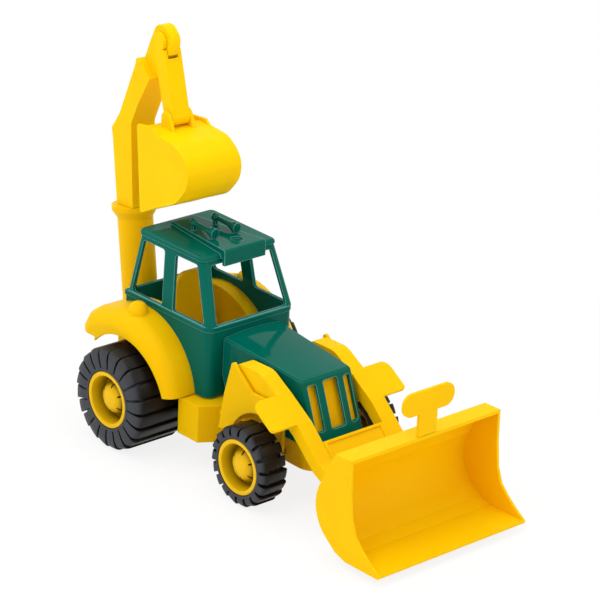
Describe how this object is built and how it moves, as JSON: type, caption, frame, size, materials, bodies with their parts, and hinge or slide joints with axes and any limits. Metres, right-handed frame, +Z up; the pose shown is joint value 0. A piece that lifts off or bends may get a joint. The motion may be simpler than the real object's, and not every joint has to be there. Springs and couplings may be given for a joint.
{
  "type": "toy backhoe loader",
  "caption": "Moulded plastic toy backhoe loader with a windowed cab, lugged tyres, a lifting front loader bucket and a swinging rear digging arm.",
  "frame": {"origin": "on the ground at the middle of the toy's length and width", "axes": "+X forwards to the loader bucket, +Y to the driver's left, +Z up"},
  "size_m": [0.4296, 0.188, 0.3526],
  "materials": {
    "chassis_yellow": "satin moulded yellow plastic",
    "wheel_yellow": "satin moulded yellow plastic",
    "loader_yellow": "satin moulded yellow plastic",
    "backhoe_yellow": "satin moulded yellow plastic",
    "body_green": "glossy moulded green plastic",
    "tyre_black": "matt moulded black plastic",
    "pin_steel": "plain drawn wire"
  },
  "bodies": {
    "tractor": {"chassis": "chassis_yellow", "loader_mount_left": "chassis_yellow", "loader_mount_right": "chassis_yellow", "fender_left": "chassis_yellow", "fender_right": "chassis_yellow", "cab": "body_green", "roof": "body_green", "hood": "body_green", "engine_block": "chassis_yellow", "seat": "chassis_yellow", "front_axle": "pin_steel", "rear_axle": "pin_steel", "backhoe_post": "chassis_yellow", "lift_pin_left": "pin_steel", "lift_pin_right": "pin_steel"},
    "rear_left_wheel": {"rear_left_tyre": "tyre_black", "rear_left_rim": "wheel_yellow"},
    "rear_right_wheel": {"rear_right_tyre": "tyre_black", "rear_right_rim": "wheel_yellow"},
    "front_left_wheel": {"front_left_tyre": "tyre_black", "front_left_rim": "wheel_yellow"},
    "front_right_wheel": {"front_right_tyre": "tyre_black", "front_right_rim": "wheel_yellow"},
    "loader_arms": {"loader_arm_left": "loader_yellow", "loader_arm_right": "loader_yellow", "loader_cross_plate": "loader_yellow"},
    "loader_bucket": {"loader_bucket": "loader_yellow", "bucket_handle": "loader_yellow", "tilt_pin_left": "pin_steel", "tilt_pin_right": "pin_steel"},
    "backhoe_boom": {"backhoe_boom": "backhoe_yellow", "elbow_pin": "pin_steel"},
    "backhoe_stick": {"backhoe_stick": "backhoe_yellow"},
    "backhoe_bucket": {"backhoe_bucket": "backhoe_yellow", "crowd_pin": "pin_steel"}
  },
  "joints": [
    {"name": "rear_left_spin", "type": "hinge", "parent": "tractor", "child": "rear_left_wheel", "pos_m": [-0.11122, 0, 0.0452], "axis": [0, 1, 0], "continuous": true},
    {"name": "rear_right_spin", "type": "hinge", "parent": "tractor", "child": "rear_right_wheel", "pos_m": [-0.11122, 0, 0.0452], "axis": [0, 1, 0], "continuous": true},
    {"name": "front_left_spin", "type": "hinge", "parent": "tractor", "child": "front_left_wheel", "pos_m": [0.03878, 0, 0.0347], "axis": [0, 1, 0], "continuous": true},
    {"name": "front_right_spin", "type": "hinge", "parent": "tractor", "child": "front_right_wheel", "pos_m": [0.03878, 0, 0.0347], "axis": [0, 1, 0], "continuous": true},
    {"name": "loader_lift", "type": "hinge", "parent": "tractor", "child": "loader_arms", "pos_m": [0.01078, 0, 0.093], "axis": [0, -1, 0], "range_deg": [0, 55]},
    {"name": "loader_tilt", "type": "hinge", "parent": "loader_arms", "child": "loader_bucket", "pos_m": [0.13178, 0, 0.036], "axis": [0, -1, 0], "range_deg": [-60, 20]},
    {"name": "backhoe_swing", "type": "hinge", "parent": "tractor", "child": "backhoe_boom", "pos_m": [-0.19482, 0, 0.176], "axis": [-0.1305, 0, 0.9914], "continuous": true},
    {"name": "backhoe_elbow", "type": "hinge", "parent": "backhoe_boom", "child": "backhoe_stick", "pos_m": [-0.14614, -0.00853, 0.33854], "axis": [-0.1208, -0.9925, -0.0159], "range_deg": [-5, 85]},
    {"name": "backhoe_crowd", "type": "hinge", "parent": "backhoe_stick", "child": "backhoe_bucket", "pos_m": [-0.12847, -0.00969, 0.27652], "axis": [-0.1208, -0.9925, -0.0159], "range_deg": [-12, 70]}
  ]
}
